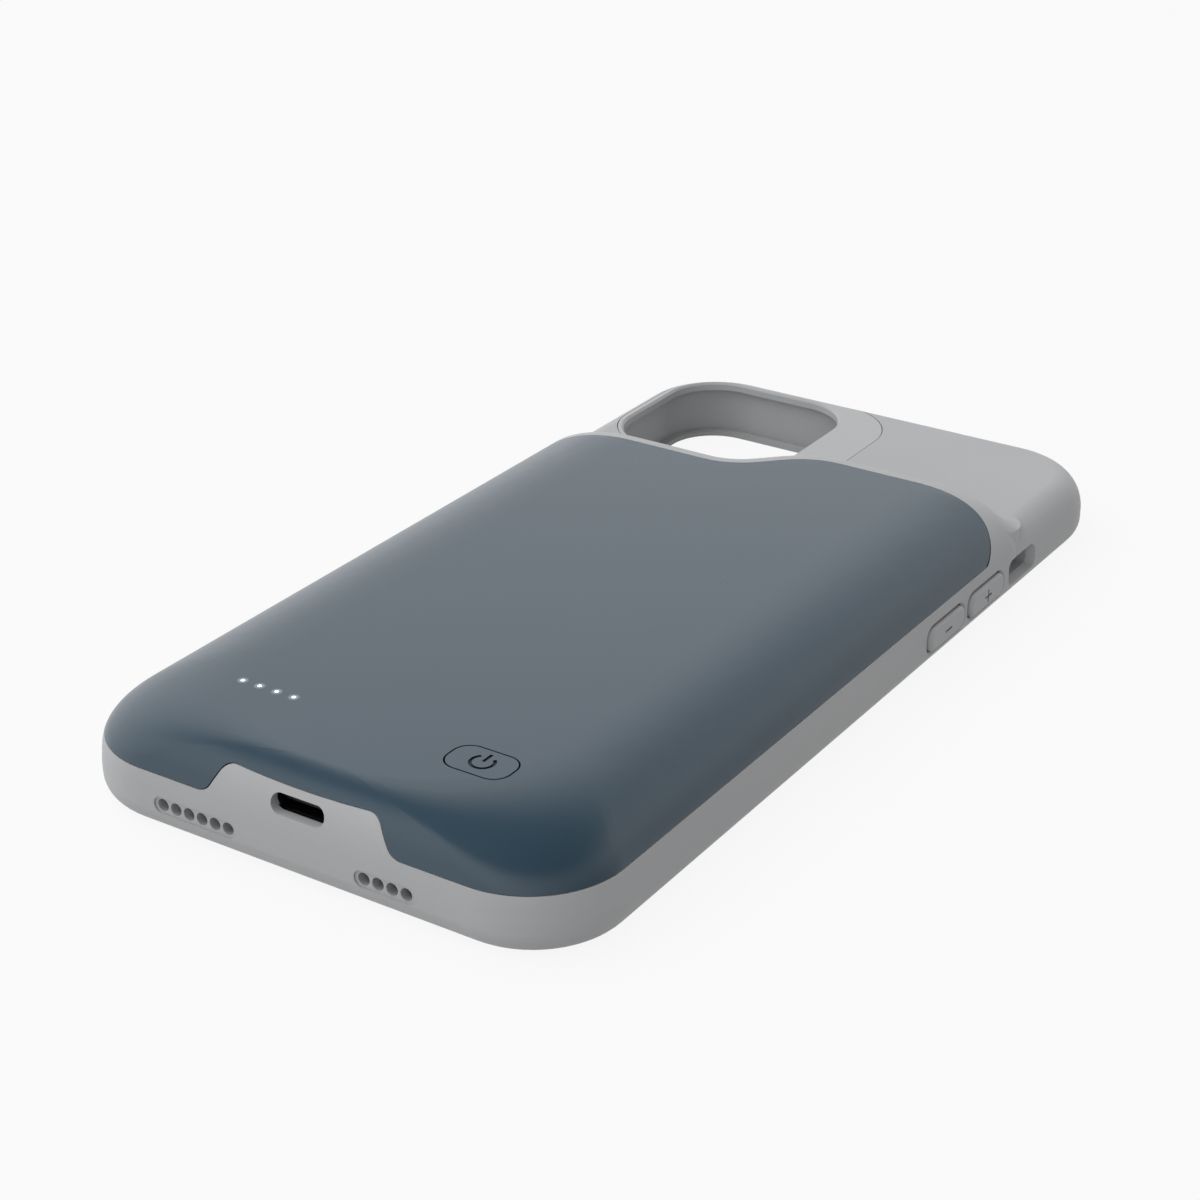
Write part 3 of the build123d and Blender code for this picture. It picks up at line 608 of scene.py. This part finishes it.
def masked_laminate():
    material, tree, place = new_material("glass_epoxy_with_green_solder_mask")
    runs = {
        "Scale": 1.0,
        "Brick Width": TRACK_RUN,
        "Row Height": TRACK_STEP,
        "Mortar Size": TRACK_WIDTH / 2,
        "Mortar Smooth": 0.2,
    }
    tracks = add_node(tree, "ShaderNodeTexBrick", runs, {"Vector": place})
    tone = add_node(tree, "ShaderNodeMix", {"data_type": "RGBA", "B": linear(TRACK_GREEN)}, {
        "Factor": tracks.outputs["Fac"],
        "A": wandering_tone(tree, place, ("#1A5230", "#205E38"), size=8 * MM),
    })
    links = fine_grain(tree, place, size=0.2 * MM, rough=(0.22, 0.34), height=0.001 * MM)
    links["Base Color"] = tone.outputs["Result"]
    shader = add_node(tree, "ShaderNodeBsdfPrincipled", {"IOR": 1.52}, links)
    add_node(tree, "ShaderNodeOutputMaterial", (), {"Surface": shader.outputs["BSDF"]})
    return material


def polyimide_flex():
    material, tree, place = new_material("polyimide_film_over_copper_tracks")
    step = {"wave_type": "BANDS", "bands_direction": "X", "Scale": WAVE_REPEAT / FLEX_STEP}
    bands = add_node(tree, "ShaderNodeTexWave", step, {"Vector": place})
    tone = add_node(tree, "ShaderNodeMix", {"data_type": "RGBA", "B": linear(FLEX_COPPER)}, {
        "Factor": bands.outputs["Fac"],
        "A": wandering_tone(tree, place, ("#9A5F17", "#A86B1E"), size=5 * MM),
    })
    links = fine_grain(tree, place, size=0.3 * MM, rough=(0.2, 0.32), height=0.001 * MM)
    links["Base Color"] = tone.outputs["Result"]
    shader = add_node(tree, "ShaderNodeBsdfPrincipled", {"IOR": 1.7}, links)
    add_node(tree, "ShaderNodeOutputMaterial", (), {"Surface": shader.outputs["BSDF"]})
    return material


dress(masked_laminate(), "main_board", "cell_protection_board")
dress(polyimide_flex(), "plug_flex")

# %% [markdown]
# On the board sit a controller chip in black epoxy, an inductor of pressed and sintered ferrite,
# and ceramic capacitors. A capacitor is a tan block whose two ends are dipped in tin. Its end faces
# point along X, so the surface normal tells the tin from the ceramic.

# %% Epoxy, ferrite and ceramic
TIN = "#C9CBCC"
TIN_FROM = 0.7  # of the normal along X, so only the end faces take tin

epoxy = plain_surface(
    "epoxy_moulded_chip_package",
    ("#171718", "#1F1F20"),
    drift=3 * MM,
    grain=0.12 * MM,
    rough=(0.5, 0.68),
    height=0.003 * MM,
    settings={"IOR": 1.55},
)
ferrite = plain_surface(
    "ferrite_pressed_and_sintered",
    ("#353433", "#42413F"),
    drift=2 * MM,
    grain=0.2 * MM,
    rough=(0.55, 0.75),
    height=0.008 * MM,
    settings={"IOR": 1.6},
)


def tinned_ceramic():
    material, tree, place = new_material("ceramic_fired_with_tinned_ends")
    facing = add_node(tree, "ShaderNodeSeparateXYZ", (), {
        "Vector": add_node(tree, "ShaderNodeNewGeometry").outputs["Normal"],
    })
    slope = add_node(tree, "ShaderNodeMath", {"operation": "ABSOLUTE"}, {0: facing.outputs["X"]})
    cut = {"operation": "GREATER_THAN", 1: TIN_FROM}
    tin = add_node(tree, "ShaderNodeMath", cut, {0: slope.outputs["Value"]})
    tone = add_node(tree, "ShaderNodeMix", {"data_type": "RGBA", "B": linear(TIN)}, {
        "Factor": tin.outputs["Value"],
        "A": wandering_tone(tree, place, ("#9E7D55", "#B08E64"), size=2 * MM),
    })
    links = fine_grain(tree, place, size=0.15 * MM, rough=(0.35, 0.5), height=0.002 * MM)
    links["Base Color"] = tone.outputs["Result"]
    links["Metallic"] = tin.outputs["Value"]
    shader = add_node(tree, "ShaderNodeBsdfPrincipled", (), links)
    add_node(tree, "ShaderNodeOutputMaterial", (), {"Surface": shader.outputs["BSDF"]})
    return material


dress(epoxy, "charge_controller")
dress(ferrite, "boost_inductor")
dress(tinned_ceramic(), "board_capacitors")

# %% [markdown]
# The stage is a wide white floor. A camera sees it as paper white, and so do mirrors and clear
# plastic. A small share stays plain diffuse paint, so the case still leaves a soft shadow. The
# floor lies a hair below the case, because two faces in one plane would flicker.

# %% Floor
FLOOR_SIZE = 8.0
FLOOR_DROP = 0.05 * MM
FLOOR_WHITES = ("#BCBCBC", "#C0C0C0")
FLOOR_DRIFT = 0.4
FLOOR_GLOW = 0.9


def make_floor():
    material, tree, place = new_material("white_studio_floor")
    path = add_node(tree, "ShaderNodeLightPath")
    seen = path.outputs["Is Camera Ray"]
    for kind in ("Is Glossy Ray", "Is Transmission Ray"):
        both = {0: seen, 1: path.outputs[kind]}
        seen = add_node(tree, "ShaderNodeMath", {"operation": "MAXIMUM"}, both).outputs["Value"]
    share = add_node(tree, "ShaderNodeMath", {"operation": "MULTIPLY", 1: FLOOR_GLOW}, {0: seen})
    scuffs = wandering_tone(tree, place, FLOOR_WHITES, FLOOR_DRIFT)
    paint = add_node(tree, "ShaderNodeBsdfDiffuse", (), {"Color": scuffs})
    white = add_node(tree, "ShaderNodeEmission", {"Strength": 1.0})
    mixed = add_node(tree, "ShaderNodeMixShader", (), {
        0: share.outputs["Value"],
        1: paint.outputs["BSDF"],
        2: white.outputs["Emission"],
    })
    add_node(tree, "ShaderNodeOutputMaterial", (), {"Surface": mixed.outputs["Shader"]})
    bpy.ops.mesh.primitive_plane_add(size=FLOOR_SIZE, location=(0.0, 0.0, -FLOOR_DROP))
    floor = bpy.context.object
    floor.name = "floor"
    floor.data.materials.append(material)
    print("floor of", FLOOR_SIZE, "m")


make_floor()

# %% [markdown]
# The light is a studio sweep: bright walls that dim towards the right, and a dark ceiling. The
# flat back mirrors the far wall, which gives it its grey veil, and the rounded bottom end mirrors
# the ceiling, which keeps it deep. A wide soft box, high up on the left, makes up the light that
# the dark ceiling takes away. It is hidden from reflections, so the ceiling stays dark in them.

# %% World
STUDIO_LEVELS = ((0.50, 1.0), (0.62, 0.78), (0.69, 0.62), (0.82, 0.12), (1.0, 0.06))
WALL_LEVEL = 1.18
DIM_SIDE_LOSS = -0.93
DIM_SIDE_BEND = 2.0


def make_world():
    world = bpy.data.worlds.new("studio_sweep")
    bpy.context.scene.world = world
    world.use_nodes = True
    tree = world.node_tree
    tree.nodes.clear()
    direction = add_node(tree, "ShaderNodeTexCoord").outputs["Generated"]
    height = add_node(tree, "ShaderNodeSeparateXYZ", (), {"Vector": direction})
    rise = add_node(tree, "ShaderNodeValToRGB", (), {"Fac": height.outputs["Z"]})
    stops = rise.color_ramp.elements
    while len(stops) < len(STUDIO_LEVELS):
        stops.new(1.0)
    for stop, (place, level) in zip(stops, STUDIO_LEVELS):
        stop.position = place
        stop.color = (level, level, level, 1.0)
    keep = {"operation": "MAXIMUM", 1: 0.0}
    right = add_node(tree, "ShaderNodeMath", keep, {0: height.outputs["X"]})
    power = {"operation": "POWER", 1: DIM_SIDE_BEND}
    bend = add_node(tree, "ShaderNodeMath", power, {0: right.outputs["Value"]})
    loss = {"operation": "MULTIPLY_ADD", 1: DIM_SIDE_LOSS, 2: WALL_LEVEL}
    side = add_node(tree, "ShaderNodeMath", loss, {0: bend.outputs["Value"]})
    both = {0: rise.outputs["Color"], 1: side.outputs["Value"]}
    level = add_node(tree, "ShaderNodeMath", {"operation": "MULTIPLY"}, both)
    light = add_node(tree, "ShaderNodeBackground", {"Color": (1.0, 1.0, 1.0, 1.0)}, {
        "Strength": level.outputs["Value"],
    })
    add_node(tree, "ShaderNodeOutputWorld", (), {"Surface": light.outputs["Background"]})
    print("studio sweep with", len(STUDIO_LEVELS), "levels from wall to ceiling")


make_world()

# %% Soft box
SOFT_BOX_SIZE = 1.2
SOFT_BOX_PLACE = Vector((-0.4, -0.22, 0.95))
SOFT_BOX_WATTS = 9.0


def make_soft_box():
    lamp = bpy.data.lights.new("soft_box", "AREA")
    lamp.size = SOFT_BOX_SIZE
    lamp.energy = SOFT_BOX_WATTS
    box = bpy.data.objects.new("soft_box", lamp)
    box.location = SOFT_BOX_PLACE
    box.rotation_euler = (-SOFT_BOX_PLACE).to_track_quat("-Z", "Y").to_euler()
    box.visible_glossy = False
    bpy.context.scene.collection.objects.link(box)


make_soft_box()
print("soft box of", SOFT_BOX_SIZE, "m at", [round(v, 2) for v in SOFT_BOX_PLACE], "m")

# %% [markdown]
# The camera stands to the right of the bottom end and looks down along the case. Its place, angle
# and lens were fitted to the outline of the object, so the near end is larger than the far one by
# the right amount.

# %% Camera
CAMERA_PLACE = Vector((178.564, -284.166, 172.043)) * MM
CAMERA_AZIMUTH = math.radians(33.080)
CAMERA_ELEVATION = math.radians(26.197)
CAMERA_LENS = 78.020
CAMERA_SENSOR = 36.0
CAMERA_NEAR = 0.01


def make_camera():
    camera = bpy.data.objects.new("camera", bpy.data.cameras.new("camera"))
    bpy.context.scene.collection.objects.link(camera)
    flat = math.cos(CAMERA_ELEVATION)
    forward = Vector((
        -math.sin(CAMERA_AZIMUTH) * flat,
        math.cos(CAMERA_AZIMUTH) * flat,
        -math.sin(CAMERA_ELEVATION),
    ))
    camera.location = CAMERA_PLACE
    camera.rotation_euler = forward.to_track_quat("-Z", "Y").to_euler()
    camera.data.lens = CAMERA_LENS
    camera.data.sensor_width = CAMERA_SENSOR
    camera.data.clip_start = CAMERA_NEAR
    bpy.context.scene.camera = camera
    print("camera at", [round(v / MM) for v in CAMERA_PLACE], "mm, lens", CAMERA_LENS, "mm")


make_camera()
bpy.context.scene.view_settings.view_transform = "Standard"
